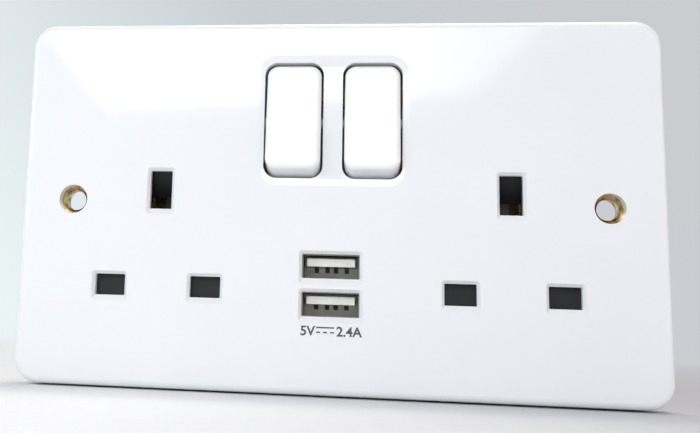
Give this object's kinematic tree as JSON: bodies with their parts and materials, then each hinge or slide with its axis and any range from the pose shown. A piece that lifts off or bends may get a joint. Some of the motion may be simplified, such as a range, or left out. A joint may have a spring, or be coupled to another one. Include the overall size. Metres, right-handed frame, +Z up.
{
  "type": "switched socket outlet",
  "caption": "Wall plate power socket with shuttered three-pin outlets, rocker switches, stacked USB charging ports and a rear housing with screw terminals.",
  "frame": {"origin": "midway between the two fixing holes, 4 mm behind the face, within the eyelets' barrels", "axes": "+X right, +Z up, +Y into the wall; the face looks along -Y"},
  "size_m": [0.146, 0.03, 0.086],
  "materials": {
    "glossy_white": "glossy moulded urea",
    "housing_white": "satin moulded nylon",
    "shutter_black": "satin moulded nylon",
    "acetal": "turned acetal",
    "brass": "stamped and turned brass",
    "zinc_steel": "zinc plated",
    "spring_steel": "drawn wire",
    "tinned_steel": "folded and tinned",
    "port_white": "moulded polyester",
    "gold_plate": "gold flashed",
    "board_green": "solder resist on glass epoxy",
    "ferrite": "sintered ferrite",
    "tape_yellow": "polyester tape",
    "can_sleeve": "shrink sleeve",
    "chip_black": "moulded epoxy"
  },
  "bodies": {
    "base": {"front_plate": "glossy_white", "rear_housing": "housing_white", "left_contact_cover": "housing_white", "right_contact_cover": "housing_white", "module_cover": "housing_white", "left_eyelet": "brass", "right_eyelet": "brass", "supply_busbar": "brass", "neutral_busbar": "brass", "earth_strap": "brass", "left_line_contact": "brass", "right_line_contact": "brass", "neutral_terminal": "brass", "line_terminal": "brass", "left_earth_terminal": "brass", "right_earth_terminal": "brass", "terminal_screws": "zinc_steel", "housing_screws": "zinc_steel", "left_shutter_spring": "spring_steel", "right_shutter_spring": "spring_steel", "upper_usb_shell": "tinned_steel", "lower_usb_shell": "tinned_steel", "upper_usb_tongue": "port_white", "lower_usb_tongue": "port_white", "upper_usb_contacts": "gold_plate", "lower_usb_contacts": "gold_plate", "usb_board": "board_green", "transformer_core": "ferrite", "transformer_winding": "tape_yellow", "capacitors": "can_sleeve", "charger_chip": "chip_black"},
    "left_rocker_body": {"left_rocker": "glossy_white", "left_plunger_spring": "spring_steel"},
    "left_plunger_body": {"left_plunger": "acetal"},
    "left_contact_body": {"left_moving_contact": "brass"},
    "left_shutter_body": {"left_shutter": "shutter_black"},
    "right_rocker_body": {"right_rocker": "glossy_white", "right_plunger_spring": "spring_steel"},
    "right_plunger_body": {"right_plunger": "acetal"},
    "right_contact_body": {"right_moving_contact": "brass"},
    "right_shutter_body": {"right_shutter": "shutter_black"}
  },
  "joints": [
    {"name": "left_rocker_tilt", "type": "hinge", "parent": "base", "child": "left_rocker_body", "pos_m": [-0.009, 0.0004, 0.0193], "axis": [1, 0, 0], "range_deg": [0, 14]},
    {"name": "left_contact_tilt", "type": "hinge", "parent": "base", "child": "left_contact_body", "pos_m": [-0.009, 0.01573, 0.0193], "axis": [1, 0, 0], "range_deg": [-20, 0]},
    {"name": "left_plunger_slide", "type": "slide", "parent": "left_rocker_body", "child": "left_plunger_body", "axis": [0, -0.9925, 0.1219], "range_m": [0, 0.0005], "stiffness_N_per_m": 30, "springref_m": -0.002},
    {"name": "left_shutter_slide", "type": "slide", "parent": "base", "child": "left_shutter_body", "axis": [0, 0, 1], "range_m": [0, 0.0052], "stiffness_N_per_m": 60, "springref_m": -0.008, "deforming": ["left_shutter_spring"]},
    {"name": "right_rocker_tilt", "type": "hinge", "parent": "base", "child": "right_rocker_body", "pos_m": [0.009, 0.0004, 0.0193], "axis": [1, 0, 0], "range_deg": [0, 14]},
    {"name": "right_contact_tilt", "type": "hinge", "parent": "base", "child": "right_contact_body", "pos_m": [0.009, 0.01573, 0.0193], "axis": [1, 0, 0], "range_deg": [-20, 0]},
    {"name": "right_plunger_slide", "type": "slide", "parent": "right_rocker_body", "child": "right_plunger_body", "axis": [0, -0.9925, 0.1219], "range_m": [0, 0.0005], "stiffness_N_per_m": 30, "springref_m": -0.002},
    {"name": "right_shutter_slide", "type": "slide", "parent": "base", "child": "right_shutter_body", "axis": [0, 0, 1], "range_m": [0, 0.0052], "stiffness_N_per_m": 60, "springref_m": -0.008, "deforming": ["right_shutter_spring"]}
  ],
  "couplings": [
    {"joint": "left_contact_tilt", "follows": "left_rocker_tilt", "ratio": -1.428},
    {"joint": "right_contact_tilt", "follows": "right_rocker_tilt", "ratio": -1.428}
  ]
}
